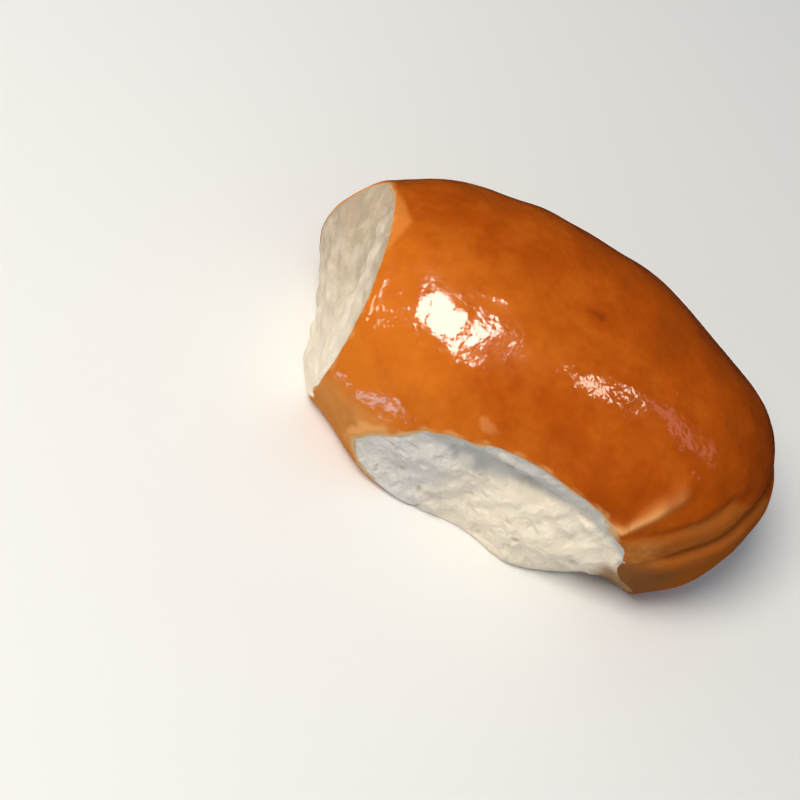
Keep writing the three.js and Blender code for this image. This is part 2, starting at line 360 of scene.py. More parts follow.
def folds(points, spread=1.0):
    """Where the right end's folds are, and how far they stand out."""
    x, y, z = points.T
    degrees = plan_angle(x, y)
    for (start, top), (appears, full), ends, (low, high), bend, wide, height in FOLDS:
        climb = np.clip((degrees - start) / (top - start), 0, 1) ** bend
        strength = ramp(degrees, appears, full) * ramp(degrees, ends, ends - FOLD_FADES)
        yield strength * gauss(z - low - (high - low) * climb, wide * spread), height


def crust_relief(points):
    """How far the crust's swells and folds stand out. The folds are lower beside the torn front."""
    x, y, z = points.T
    small = SMALL_WAVE_HEIGHT * waves(y - z, x, SMALL_WAVE_LENGTH * WAVE_LENGTH)
    out = WAVE_HEIGHT * (waves(x, y + z, WAVE_LENGTH) + small)
    for centre, wide, height in SWELLS:
        out += height * near(points, centre, wide)
    lip = gauss(x - end_tear(y, z) - LIP_INSET, LIP_HALF) * ramp(z, BELLY_HEIGHT, BELLY_HEIGHT + LIP_RISE)
    out += LIP_HEIGHT * lip * (LIP_SHARE + uneven(points, LIP_UNEVEN))
    whole = FOLD_AT_TEAR + (1 - FOLD_AT_TEAR) * ramp(y - front_tear(x, z), 0, FOLD_EASE)
    for strength, height in folds(points):
        out += strength * height * whole
    return out


def crust_detail(points):
    """Fine dimples, puckers and blisters of the baked skin."""
    out = uneven(points, DIMPLES)
    for centre, wide, height in BLISTERS:
        out += height * near(points, centre, wide)
    return out


def roll_surface(directions, under=0.0):
    """Where directions from the roll's middle meet it, at a depth under the crust's outside."""
    d = directions / np.linalg.norm(directions, axis=1, keepdims=True)
    turn = np.arctan2(d[:, 1], d[:, 0])
    lift = np.arcsin(d[:, 2])
    angle = np.arctan2(ROLL_WIDTH * np.sin(turn), ROLL_LENGTH * np.cos(turn))
    up = np.clip(lift, 0, None)
    down = np.clip(-lift / BASE_LIFT, 0, 1) * math.pi / 2
    dome = ROLL_HEIGHT - BELLY_HEIGHT
    top_share = np.clip(np.cos(up), 0, 1) ** (2 / DOME_POWER)
    low_share = BASE_SHARE + (1 - BASE_SHARE) * np.clip(np.cos(down), 0, 1) ** (2 / TUCK_POWER)
    base_share = BASE_SHARE * (math.pi / 2 + lift) / (math.pi / 2 - BASE_LIFT)
    share = np.where(lift >= 0, top_share, np.where(-lift < BASE_LIFT, low_share, base_share))
    z = BELLY_HEIGHT + dome * np.sin(up) ** (2 / DOME_POWER)
    z = np.where(lift < 0, BELLY_HEIGHT * (1 - np.sin(down) ** (2 / TUCK_POWER)), z)
    flat = share * plan_reach(angle)
    points = np.stack([flat * np.cos(angle), flat * np.sin(angle), z], axis=1)
    half = np.array([ROLL_LENGTH / 2, ROLL_WIDTH / 2, dome])
    outward = (points - [0, 0, BELLY_HEIGHT]) / half**2
    outward /= np.linalg.norm(outward, axis=1, keepdims=True)
    inward = -outward.copy()
    inward[-lift >= BASE_LIFT - 1e-6] = (0, 0, 1)
    outward[:, 2] *= smooth_step(z / BASE_EASE)
    give = np.where(z > 1e-6, 1, share**2)
    raised = crust_relief(points) + crust_detail(points) * smooth_step(z / DETAIL_EASE)
    folded = np.clip(sum(strength for strength, height in folds(points, CLEARANCE_SPREAD)), 0, 1)
    deeper = under * (1 + FOLD_CLEARANCE * folded)
    return points + outward * (give * raised)[:, None] + inward * deeper[:, None]


def front_tear(x, z):
    """The y of the torn front."""
    y = FRONT_PLACE + FRONT_ALONG_X * x + FRONT_ALONG_Z * (z - BELLY_HEIGHT)
    for (cx, cz), (wide, tall), sinks in FRONT_RELIEF:
        y = y + sinks * gauss(x - cx, wide) * gauss(z - cz, tall)
    inner = smooth_step(under_skin(np.stack([x, y, z], axis=1)) / RIM_EASE)
    crags = waves(x, z, FRONT_CRAG_LENGTH) + FINE_CRAG_SHARE * waves(z, x, FINE_CRAG_LENGTH)
    return y + inner * CRAG_HEIGHT * crags


def end_tear(y, z):
    """The x of the torn left end."""
    x = END_PLACE + END_ALONG_Y * y + END_ALONG_Z * (z - BELLY_HEIGHT)
    for (cy, cz), (wide, tall), sinks in END_RELIEF:
        x = x + sinks * gauss(y - cy, wide) * gauss(z - cz, tall)
    inner = smooth_step(under_skin(np.stack([x, y, z], axis=1)) / RIM_EASE)
    ring = np.hypot(y - FIBRE_MIDDLE[0], z - FIBRE_MIDDLE[1])
    fibres = np.sin(2 * math.pi * (ring + FIBRE_BEND * waves(y, z, FIBRE_BEND_LENGTH)) / FIBRE_SPACING)
    fibres *= FIBRE_SHARE + uneven(np.stack([y, z, 0 * y], axis=1), FIBRE_UNEVEN)
    return x + inner * (FIBRE_HEIGHT * fibres + CRAG_HEIGHT * waves(y, z, END_CRAG_LENGTH))


def crumb_relief(points, grain, rough, creased):
    """How deep the torn crumb's strands and pores go, and how hollow it is there, from 0 to 1. grain is
    (across, along) the pulled strands, rough is how rough the tear is, and creased how deep its creases."""
    stretched = np.stack([grain[0], STRAND_SLIMNESS * grain[1], np.zeros(len(points))], axis=1)
    stretched[:, 0] += uneven(points, STRAND_UNEVEN)
    swell = -uneven(points, CRUMB_SWELLS)
    crease = creased * (CREASE_CREST - np.abs(lumps(stretched, *CREASE)))
    fine_crease = FINE_CREASED * (CREASE_CREST - np.abs(lumps(stretched, *FINE_CREASE)))
    open_crumb = smooth_step(OPEN_SHARE + uneven(points, OPEN_UNEVEN))
    pores = 0
    for apart, fill, in_dense, in_open, seed in PORES:
        pores = pores + (in_dense + (in_open - in_dense) * open_crumb) * bubbles(points, apart, fill, seed)
    tufts = uneven(stretched, STRAND_TUFTS) + uneven(points, TUFTS)
    gap = under_skin(points) + crust_relief(points)
    bold = smooth_step(gap / BOLD_INSIDE)
    fine = FINE_AT_SKIN + (1 - FINE_AT_SKIN) * smooth_step(gap / FINE_INSIDE)
    depth = rough * (bold * (swell + crease) + fine * (fine_crease + pores + tufts))
    hollow = PORE_SHADE * pores + bold * np.clip(crease, 0, None)
    hollow += CREASE_SHADE * np.clip(fine_crease, 0, None)
    return depth, rough * fine * np.clip(hollow + tufts, 0, 1)


def ragged(points):
    """How far the crust's torn edge wanders from the tear, towards the whole crust."""
    wander = uneven(points, TORN_UNEVEN) - TORN_OVERHANG
    for corner in (PALE_RIM, LOW_CORNER):
        wander -= CORNER_OVERHANG * near(points, corner, CORNER_HALF)
    return wander + BASE_SETBACK * ramp(points[:, 2], SETBACK_HEIGHT, 0)


def torn_gap(points):
    """How far points are from the nearer tear."""
    x, y, z = points.T
    return np.minimum(x - end_tear(y, z), y - front_tear(x, z))


def tear_top(x):
    """The height where the torn front meets the dome, found by halving nine times."""
    low, high = np.full(len(x), BELLY_HEIGHT), np.full(len(x), ROLL_HEIGHT)
    for halving in range(9):
        middle = (low + high) / 2
        below = under_skin(np.stack([x, front_tear(x, middle), middle], axis=1)) > 0
        low, high = np.where(below, middle, low), np.where(below, high, middle)
    return low


# ---- what the crust and crumb are painted with ----
def bake_and_shade_of(points):
    """How dark the crust is painted, from 0 for pale gold to 1 for dark brown: its bake, and painted shade
    where less light falls.
    """
    x, y, z = points.T
    bake_and_shade = BAKE_AND_SHADE_MIDDLE + BAKE_AND_SHADE_ALONG_X * x + BAKE_AND_SHADE_ALONG_Y * y
    bake_and_shade = bake_and_shade - CRESCENT_PALER * crescent_of(points) - RIDGE_HIGHLIGHT_PALER * ridge_highlight_of(points)
    for centre, wide, darker in BAKED_AND_SHADED_SPOTS:
        bake_and_shade += darker * near(points, centre, wide)
    return np.clip(bake_and_shade, 0, 1)


def crescent_of(points):
    """1 on the stretched skin beside the torn end."""
    x, y, z = points.T
    along = np.clip(1 - np.abs((y - CRESCENT_MIDDLE) / CRESCENT_HALF), 0, 1)
    inside = CRESCENT_WIDE * along - (x - end_tear(y, z))
    return smooth_step(inside / CRESCENT_SOFT) * (z > BELLY_HEIGHT)


def ridge_highlight_of(points):
    """1 on the painted highlight along the first fold's ridge, near the torn front."""
    x, y, z = points.T
    by_tear = sum(share * ramp(plan_angle(x, y), *fade) for share, fade in RIDGE_HIGHLIGHT_FADES)
    strength, height = next(folds(points, RIDGE_HIGHLIGHT_SPREAD))
    return by_tear * strength


def mark_of(points):
    """1 on the small pale pucker above the torn front."""
    away = np.linalg.norm((points - FOLD_MARK) / (MARK_LENGTH, 1, 1), axis=1)
    return ramp(away + uneven(points, MARK_UNEVEN), *MARK_FADE)


def dull_wall_of(points):
    """1 on the low wall beside the torn front's right end."""
    x, y, z = points.T
    degrees = plan_angle(x, y)
    spans = zip((z, degrees, degrees, np.hypot(x, y)), DULL_FADES)
    return math.prod(ramp(value, *fade) for value, fade in spans)


def shaded_band_of(points):
    """Up to 1 in the band of the torn front's crumb under the crust, which lies deeper and is painted grey
    as painted shade.
    """
    x, y, z = points.T
    reach = np.interp(x, *np.array(SHADED_BAND_REACH, float).T) + uneven(points, SHADED_BAND_UNEVEN)
    return smooth_step((reach - (tear_top(x) - z)) / SHADED_BAND_SOFT)


def wash_of(points):
    """How much egg wash is on the crust, from 0 to 1."""
    x, y, z = points.T
    degrees = plan_angle(x, y)
    angles, heights, softness = np.array(WASH_EDGE, float).T
    edge = np.interp(degrees, angles, heights)
    soft = np.interp(degrees, angles, softness)
    free = DRIP_LEAST + (1 - DRIP_LEAST) * ramp(np.abs(degrees - FOLDED_SIDE), *DRIP_FADE)
    drips = uneven(points * (1, 1, DRIP_STRETCH), DRIPS)
    return smooth_step(0.5 + (z - edge - drips * free) / soft)


# ---- mesh making ----
def as_piece(name, bm):
    mesh = bpy.data.meshes.new(name)
    bm.normal_update()
    bm.to_mesh(mesh)
    bm.free()
    piece = bpy.data.objects.new(name, mesh)
    bpy.context.scene.collection.objects.link(piece)
    return piece


def places(mesh):
    flat = np.empty(len(mesh.vertices) * 3)
    mesh.vertices.foreach_get("co", flat)
    return flat.reshape(-1, 3)


def reshape(mesh, points):
    mesh.vertices.foreach_set("co", points.ravel())
    mesh.update()


def paint(mesh, name, values):
    """Keeps a number for each vertex, for the materials to read."""
    layer = mesh.attributes.new(name, "FLOAT", "POINT")
    layer.data.foreach_set("value", values.astype(np.float32))


def outward_faces(piece):
    bm = bmesh.new()
    bm.from_mesh(piece.data)
    bmesh.ops.recalc_face_normals(bm, faces=bm.faces)
    bm.to_mesh(piece.data)
    bm.free()
    return piece


def roll(name, cuts, under=0.0):
    """The whole roll as a closed body: a cube's faces cut fine and blown out to the roll's surface."""
    bm = bmesh.new()
    bmesh.ops.create_cube(bm, size=2)
    bmesh.ops.subdivide_edges(bm, edges=bm.edges, cuts=cuts, use_grid_fill=True)
    piece = as_piece(name, bm)
    evened = np.tan(places(piece.data) * math.pi / 4)
    reshape(piece.data, roll_surface(evened, under))
    return outward_faces(piece)


def torn_block(name, low, high, step, back, shape):
    """What was torn away, as a closed block. Its fine sheet spans low to high (along, up), and shape()
    gives each point's place and how hollow it is. back() places its plain back."""
    along = round((high[0] - low[0]) / step)
    up = round((high[1] - low[1]) / step)
    bm = bmesh.new()
    bmesh.ops.create_grid(bm, x_segments=along, y_segments=up, size=0.5)
    behind = bmesh.ops.extrude_face_region(bm, geom=bm.faces[:])["geom"]
    bmesh.ops.translate(bm, verts=[v for v in behind if isinstance(v, bmesh.types.BMVert)], vec=(0, 0, -1))
    piece = as_piece(name, bm)
    sheet = places(piece.data)
    is_back = sheet[:, 2] < -0.5
    spots = (sheet[:, :2] + 0.5) * (np.array(high) - low) + low
    shaped, hollow = shape(spots[:, 0], spots[:, 1])
    shaped[is_back] = back(spots[is_back, 0], spots[is_back, 1])
    reshape(piece.data, shaped)
    paint(piece.data, "hollow", hollow)
    return outward_faces(piece)


def carve(piece, *cutters):
    """Cuts pieces away from a piece, and removes them."""
    for cutter in cutters:
        cut = piece.modifiers.new("cut", "BOOLEAN")
        cut.operation = "DIFFERENCE"
        cut.solver = "MANIFOLD"
        cut.object = cutter
    seen = piece.evaluated_get(bpy.context.evaluated_depsgraph_get())
    whole = bpy.data.meshes.new_from_object(seen)
    piece.modifiers.clear()
    piece.data = whole
    for cutter in cutters:
        bpy.data.meshes.remove(cutter.data)


def smooth_with_edges(mesh, degrees):
    """Smooth shading that keeps edges sharper than an angle."""
    bm = bmesh.new()
    bm.from_mesh(mesh)
    for face in bm.faces:
        face.smooth = True
    limit = math.radians(degrees)
    for edge in bm.edges:
        edge.smooth = not (edge.is_manifold and edge.calc_face_angle(0) > limit)
    bm.to_mesh(mesh)
    bm.free()


def finish_piece(piece, degrees, material):
    """Shades a piece, and takes it from the roll's millimetres to the bun's frame in metres."""
    smooth_with_edges(piece.data, degrees)
    piece.data.transform(Matrix.Scale(MM, 4) @ Matrix.Translation(ROLL_CENTRE))
    piece.data.update()
    piece.data.materials.clear()
    piece.data.materials.append(material)


# ---- what was torn away ----
def unsettle(points, shifts):
    """Shifts a fine sheet's points sideways, so that its rows don't show."""
    for axis, seed in shifts:
        points[:, axis] += SHIFT_HEIGHT * lumps(points, SHIFT_SIZE, seed)


def front_crumb_sheet(x, z):
    points = np.stack([x, front_tear(x, z), z], axis=1)
    rough = FRONT_ROUGH + (1 - FRONT_ROUGH) * ramp(x, *FRONT_ROUGH_FADE)
    depth, hollow = crumb_relief(points, (x, FRONT_STRANDS * z), rough, FRONT_CREASED)
    wander = uneven(points, PIT_UNEVEN)
    for (middle, up), (wide, tall), deep in FRONT_PITS:
        pit = gauss(x - middle + wander, wide) * gauss(z - up, tall)
        depth += deep * pit
        hollow += PIT_SHADE * deep * pit
    below_top = ramp(tear_top(x) - z, *SHADED_BAND_DEPTH_FADE)
    points[:, 1] += depth + SHADED_BAND_DEPTH * shaded_band_of(points) * below_top
    unsettle(points, FRONT_SHIFTS)
    return points, np.clip(hollow, 0, 1)


def end_crumb_sheet(y, z):
    points = np.stack([end_tear(y, z), y, z], axis=1)
    across, along = (z - y) / math.sqrt(2), (z + y) / math.sqrt(2)
    rough = END_ROUGH + (1 - END_ROUGH) * ramp(z, *END_ROUGH_FADE)
    depth, hollow = crumb_relief(points, (across, along), rough, END_CREASED)
    bent = across + uneven(points, PULLED_UNEVEN)
    inside = under_skin(points)
    for place, wide, sinks in PULLED_FOLDS:
        fold = gauss(bent - place, wide)
        depth += sinks * fold * smooth_step(inside / PULLED_EASE)
        hollow += PULLED_SHADE * np.clip(sinks, 0, None) * fold
    gap = inside + crust_relief(points)
    hollow += EDGE_SHADE * gauss(gap, EDGE_SHADE_HALF) * ramp(y, *EDGE_SHADE_FADE)
    points[:, 0] += depth
    unsettle(points, END_SHIFTS)
    return points, np.clip(hollow, 0, 1)


def front_rim_sheet(x, z):
    points = np.stack([x, front_tear(x, z), z], axis=1)
    points[:, 1] += ragged(points)
    return points, np.zeros(len(x))


def end_rim_sheet(y, z):
    points = np.stack([end_tear(y, z), y, z], axis=1)
    points[:, 0] += ragged(points)
    return points, np.zeros(len(y))


def front_back(x, z):
    return np.stack([x, np.full(len(x), -ROLL_WIDTH / 2 - OUTSIDE), z], axis=1)


def end_back(y, z):
    return np.stack([np.full(len(y), -ROLL_LENGTH / 2 - OUTSIDE), y, z], axis=1)


def front_block(name, step, shape):
    return torn_block(name, FRONT_LOW, FRONT_HIGH, step, front_back, shape)


def end_block(name, step, shape):
    return torn_block(name, END_LOW, END_HIGH, step, end_back, shape)


# ---- materials ----
def new_material(name):
    material = bpy.data.materials.new(name)
    material.use_nodes = True
    tree = material.node_tree
    return material, tree, tree.nodes["Principled BSDF"]


def node(tree, kind, inputs, **settings):
    """A shader node with its settings, and values or links for its inputs."""
    made = tree.nodes.new(kind)
    for name, value in settings.items():
        setattr(made, name, value)
    for name, value in inputs.items():
        socket = made.inputs[name]
        if isinstance(value, bpy.types.NodeSocket):
            tree.links.new(value, socket)
        else:
            socket.default_value = value
    return made


def sums(tree, operation, *values):
    return node(tree, "ShaderNodeMath", dict(enumerate(values)), operation=operation).outputs[0]


def remap(tree, value, low, high, to_low=0.0, to_high=1.0, kind="SMOOTHSTEP"):
    inputs = {"Value": value, "From Min": low, "From Max": high, "To Min": to_low, "To Max": to_high}
    return node(tree, "ShaderNodeMapRange", inputs, interpolation_type=kind).outputs[0]


def mix(tree, share, first, second):
    inputs = {0: share, 6: first, 7: second}
    return node(tree, "ShaderNodeMix", inputs, data_type="RGBA").outputs[2]


def painted(tree, name):
    return node(tree, "ShaderNodeAttribute", {}, attribute_name=name).outputs["Fac"]


def in_millimetres(tree):
    """Places on the piece, in millimetres."""
    place = node(tree, "ShaderNodeTexCoord", {}).outputs["Object"]
    return node(tree, "ShaderNodeVectorMath", {0: place, 3: 1 / MM}, operation="SCALE").outputs[0]


def mottle(tree, at, size, detail=2.0, roughness=0.5):
    """Soft random patches about size millimetres across, from 0 to 1."""
    inputs = {"Vector": at, "Scale": 1 / size, "Detail": detail, "Roughness": roughness}
    return node(tree, "ShaderNodeTexNoise", inputs).outputs[0]


def relief(tree, height, deep):
    """A bump as deep, in millimetres, as a height of 1."""
    inputs = {"Height": height, "Distance": deep * MM, "Strength": 1.0}
    return node(tree, "ShaderNodeBump", inputs).outputs[0]


def colour(*rgb):
    return (*rgb, 1.0)


# Crust colours, from pale to dark, and those of bare, torn and stretched skin. The bright peach is
# stretched skin and also a painted highlight.
GOLD = colour(0.65, 0.17, 0.013)
ORANGE_BROWN = colour(0.42, 0.075, 0.003)
DARK_BROWN = colour(0.16, 0.022, 0.001)
PALE_TAN = colour(0.62, 0.24, 0.058)
BROWN_TAN = colour(0.36, 0.095, 0.013)
DULL_BROWN = colour(0.24, 0.09, 0.027)
TORN_TAN = colour(0.66, 0.42, 0.21)
PEACH = colour(0.76, 0.38, 0.13)
BRIGHT_PEACH_AND_HIGHLIGHT = colour(0.95, 0.46, 0.16)
# Crumb colours: cream, toasted cream that is also painted shade, and painted shade in cool, grey, shaded
# and tan tones.
CREAM = colour(0.87, 0.78, 0.64)
COOL_SHADE_CREAM = colour(0.69, 0.665, 0.63)
BAND_SHADE_GREY = colour(0.53, 0.52, 0.505)
TOAST_AND_SHADE_CREAM = colour(0.48, 0.38, 0.275)
SHADED_CREAM = colour(0.44, 0.37, 0.29)
SHADED_TIP_TAN = colour(0.31, 0.16, 0.06)

# Mottling of the bake: patch size in millimetres, detail, the pattern's range, how much darker or paler.
BAKE_MOTTLING = [(7, 2.0, (0.3, 0.7), 0.09), (1.8, 3.0, (0.35, 0.65), 0.03)]
GOLDEN_BAKE = 0.45  # below this level of bake and painted shade the glaze is golden
BARE_BAKE = (0.1, 0.5)
WALL_PATCH, WALL_DETAIL, WALL_RANGE, WALL_BROWN = 8, 4, (0.45, 0.75), 0.3
PEACH_PATCH, PEACH_RANGE, PEACH_WANDER = 5, (0.35, 0.65), (-0.4, 0.5)
PEACH_EDGE, PEACH_PAINT = (-0.6, 0.4), 0.7
SKIN_EDGE, GLOSS_EDGE = (0.1, 0.9), (0.02, 0.2)
COAT_WEIGHTS, CRUST_ROUGHNESS = (0.05, 0.9), (0.6, 0.45)  # bare, glazed
COAT_ROUGHNESS = 0.12
CRINKLE_PATCH, CRINKLE_RANGE, CRINKLES = 14, (0.36, 0.6), (0.35, 1.0)
WRINKLE_PATCH, WRINKLE_DETAIL, WRINKLE_ROUGHNESS = 3.2, 2.0, 0.45
PUCKER_PATCH, PUCKER_DETAIL, PUCKER_SHARE = 1.4, 1.0, 0.14
SKIN_RELIEF = 0.26
TOAST_PATCH, TOAST_DETAIL, TOAST_RANGE, TOAST_SHARES = 4, 3, (0.3, 0.7), (0.75, 1.25)
HOLLOW_EDGE = (0.1, 1.0)
GRAIN_PATCH, GRAIN_DETAIL, GRAIN_ROUGHNESS, GRAIN_RELIEF = 0.7, 3, 0.6, 0.25


def crust_colour(tree, at, wash, skin):
    """Glazed and bare crust, with painted shade in its bake, stretched to peach near the tears, and the
    torn skin's tan.
    """
    bake_and_shade = painted(tree, "bake_and_shade")
    for size, detail, (low, high), darker in BAKE_MOTTLING:
        patches = mottle(tree, at, size, detail)
        bake_and_shade = sums(tree, "ADD", bake_and_shade, remap(tree, patches, low, high, -darker, darker, "LINEAR"))
    gold = mix(tree, remap(tree, bake_and_shade, 0.0, GOLDEN_BAKE, kind="LINEAR"), GOLD, ORANGE_BROWN)
    glazed = mix(tree, remap(tree, bake_and_shade, GOLDEN_BAKE, 1.0, kind="LINEAR"), gold, DARK_BROWN)
    bare = mix(tree, remap(tree, bake_and_shade, *BARE_BAKE), PALE_TAN, BROWN_TAN)
    browner = remap(tree, mottle(tree, at, WALL_PATCH, WALL_DETAIL), *WALL_RANGE, 0.0, WALL_BROWN)
    bare = mix(tree, browner, bare, DULL_BROWN)
    bare = mix(tree, painted(tree, "dull"), bare, DULL_BROWN)
    shade = mix(tree, wash, bare, glazed)
    # Stretched skin, and a painted highlight on the first fold's ridge.
    shade = mix(tree, painted(tree, "stretched"), shade, BRIGHT_PEACH_AND_HIGHLIGHT)
    wander = remap(tree, mottle(tree, at, PEACH_PATCH), *PEACH_RANGE, *PEACH_WANDER, "LINEAR")
    from_tear = sums(tree, "ADD", painted(tree, "torn"), wander)
    shade = mix(tree, remap(tree, from_tear, *PEACH_EDGE, PEACH_PAINT, 0.0), shade, PEACH)
    return mix(tree, remap(tree, skin, *SKIN_EDGE), shade, TORN_TAN)


def crust_material():
    material, tree, surface = new_material("egg-washed crust")
    at = in_millimetres(tree)
    wash, skin = painted(tree, "wash"), painted(tree, "skin")
    tree.links.new(crust_colour(tree, at, wash, skin), surface.inputs["Base Color"])
    glossy = sums(tree, "MULTIPLY", wash, remap(tree, skin, *GLOSS_EDGE, 1.0, 0.0))
    tree.links.new(remap(tree, glossy, 0, 1, *COAT_WEIGHTS, "LINEAR"), surface.inputs["Coat Weight"])
    tree.links.new(remap(tree, glossy, 0, 1, *CRUST_ROUGHNESS, "LINEAR"), surface.inputs["Roughness"])
    surface.inputs["Coat Roughness"].default_value = COAT_ROUGHNESS
    surface.inputs["Specular IOR Level"].default_value = 0.0
    crinkled = remap(tree, mottle(tree, at, CRINKLE_PATCH), *CRINKLE_RANGE, *CRINKLES)
    wrinkles = mottle(tree, at, WRINKLE_PATCH, WRINKLE_DETAIL, WRINKLE_ROUGHNESS)
    wrinkles = sums(tree, "MULTIPLY", wrinkles, crinkled)
    puckers = mottle(tree, at, PUCKER_PATCH, PUCKER_DETAIL)
    puckers = remap(tree, puckers, 0.0, 1.0, 0.0, PUCKER_SHARE, "LINEAR")
    bumped = relief(tree, sums(tree, "ADD", wrinkles, puckers), SKIN_RELIEF)
    tree.links.new(bumped, surface.inputs["Normal"])
    tree.links.new(bumped, surface.inputs["Coat Normal"])
    return material


def crumb_material():
    material, tree, surface = new_material("soft crumb")
    at = in_millimetres(tree)
    # Toasting and painted shade, then painted cool shade, grey shade under the crust, tan shade on the low
    # right tip, and shade in the hollows.
    patches = remap(tree, mottle(tree, at, TOAST_PATCH, TOAST_DETAIL), *TOAST_RANGE, *TOAST_SHARES)
    toast_and_shade = sums(tree, "MULTIPLY", painted(tree, "toast_and_shade"), patches)
    shade = mix(tree, toast_and_shade, CREAM, TOAST_AND_SHADE_CREAM)
    for name, towards in (("cool_shade", COOL_SHADE_CREAM), ("band_shade", BAND_SHADE_GREY), ("dull", SHADED_TIP_TAN)):
        shade = mix(tree, painted(tree, name), shade, towards)
    shade = mix(tree, remap(tree, painted(tree, "hollow"), *HOLLOW_EDGE), shade, SHADED_CREAM)
    tree.links.new(shade, surface.inputs["Base Color"])
    surface.inputs["Roughness"].default_value = 0.9
    surface.inputs["Specular IOR Level"].default_value = 0.15
    surface.inputs["Subsurface Weight"].default_value = 0.25
    surface.inputs["Subsurface Radius"].default_value = (1.0, 0.7, 0.45)
    surface.inputs["Subsurface Scale"].default_value = 0.9 * MM
    grain = mottle(tree, at, GRAIN_PATCH, GRAIN_DETAIL, GRAIN_ROUGHNESS)
    tree.links.new(relief(tree, grain, GRAIN_RELIEF), surface.inputs["Normal"])
    return material


# ---- pieces ----
def make_crust():
    crust = roll("crust", CRUST_CUTS)
    outside = BVHTree.FromObject(crust, bpy.context.evaluated_depsgraph_get())
    carve(
        crust,
        roll("crust lining", LINING_CUTS, CRUST_THICKNESS),
        front_block("front rim", RIM_STEP, front_rim_sheet),
        end_block("end rim", RIM_STEP, end_rim_sheet),
    )
    mesh = crust.data
    points = places(mesh)
    deep = np.array([outside.find_nearest(point)[3] for point in points])
    plain_rim = ramp(points[:, 0], *PLAIN_RIM_FADE)
    pale_rim = PALE_RIM_REACH * near(points, PALE_RIM, PALE_RIM_HALF)
    from_tear = np.clip(torn_gap(points), 0, TORN_LIMIT)
    # Stretched skin beside the torn end and in a pucker, and a painted highlight on the first fold's ridge.
    stretched = CRESCENT_PAINT * crescent_of(points) + ridge_highlight_of(points) + MARK_PAINT * mark_of(points)
    paint(mesh, "skin", np.clip(deep / CRUST_THICKNESS, 0, 1) * (1 - PLAIN_SKIN * plain_rim))
    paint(mesh, "torn", from_tear - pale_rim + PLAIN_TORN * plain_rim)
    paint(mesh, "stretched", stretched)
    paint(mesh, "dull", dull_wall_of(points))
    # The bake, with painted shade where less light falls.
    paint(mesh, "bake_and_shade", bake_and_shade_of(points))
    paint(mesh, "wash", wash_of(points))
    finish_piece(crust, CRUST_SHARP, crust_material())
    return crust


def make_crumb():
    crumb = roll("crumb", CRUMB_CUTS, CRUMB_INSET)
    carve(
        crumb,
        front_block("front crumb", CRUMB_STEP, front_crumb_sheet),
        end_block("end crumb", CRUMB_STEP, end_crumb_sheet),
    )
    mesh = crumb.data
    points = places(mesh)
    x, y, z = points.T
    on_end = ramp(y - front_tear(x, z) - x + end_tear(y, z), *CORNER_BLEND)
    on_front = 1 - on_end
    near_crust = ramp(under_skin(points), *NEAR_CRUST_FADE)
    # Painted light along the torn end's raised first fold.
    lit_strip = gauss((z - y) / math.sqrt(2) - PULLED_FOLDS[0][0], LIT_STRIP_HALF)
    # The torn end darker towards its top: toasting, and painted shade; the crumb near the crust is toasted.
    toast_and_shade = TOAST_AND_SHADE_RISE * (z + y) + TOAST_AND_SHADE_MIDDLE - LIT_STRIP_PALER * lit_strip
    # Painted grey shade in the band under the crust.
    band_shade = shaded_band_of(points) * (BAND_SHADE_PAINT + uneven(points, BAND_SHADE_UNEVEN))
    # Painted tan shade on the torn front's low right tip, kept in the dull paint.
    along_x, up = SHADED_TIP_FADES
    shaded_tip = ramp(x + uneven(points, SHADED_TIP_UNEVEN), *along_x) * ramp(z, *up)
    paint(mesh, "toast_and_shade", np.clip(on_end * toast_and_shade + NEAR_CRUST_TOAST * near_crust, 0, 1))
    paint(mesh, "band_shade", np.clip(band_shade * on_front, 0, 1))
    # Painted cool shade on the front's left part.
    paint(mesh, "cool_shade", on_front * math.prod(ramp(x, *fade) for fade in COOL_SHADE_FADES))
    paint(mesh, "dull", SHADED_TIP * on_front * shaded_tip)
    finish_piece(crumb, CRUMB_SHARP, crumb_material())
    return crumb


crust = make_crust()
crumb = make_crumb()
for piece, slot in ((crust, "crust"), (crumb, "crumb")):
    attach(piece, "root")
    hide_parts("loaf")

# ---- table, lights and camera, in metres ----
IMAGE_SIZE = 800
SENSOR_WIDTH = 36.0
VIEW_AZIMUTH, VIEW_ELEVATION, VIEW_ROLL = (math.radians(a) for a in (-10.1, 51.1, 40.75))
VIEW_DISTANCE = 0.45
VIEW_FOCUS = 1872  # focal length in the photograph's pixels
VIEW_HEIGHT = 0.0305
VIEW_AT = Vector((ROLL_CENTRE[0] * MM, ROLL_CENTRE[1] * MM, VIEW_HEIGHT))
VIEW_AT_PIXEL = (533.7, 375.5)
VIEW_REACH = 20
TABLE_RADIUS, TABLE_COLOUR = 3, colour(0.81, 0.82, 0.83)
ROOM_COLOUR = colour(0.80, 0.90, 1.0)
ROOM_RISE, ROOM_LIGHT = (0.0, 0.9), (0.20, 0.32)  # from the horizon up
ROOM_IN_GLOSS = 0.06  # the share of the room's light that the gloss shows
LAMP_DISTANCE = 0.9
WARM, SUNNY, WHITE, COOL_WHITE = (1.0, 0.92, 0.80), (1.0, 0.93, 0.72), (1.0, 0.98, 0.90), (0.95, 0.96, 1.0)
PINK, BLUE = (1.0, 0.5, 0.5), (0.45, 0.8, 1.0)
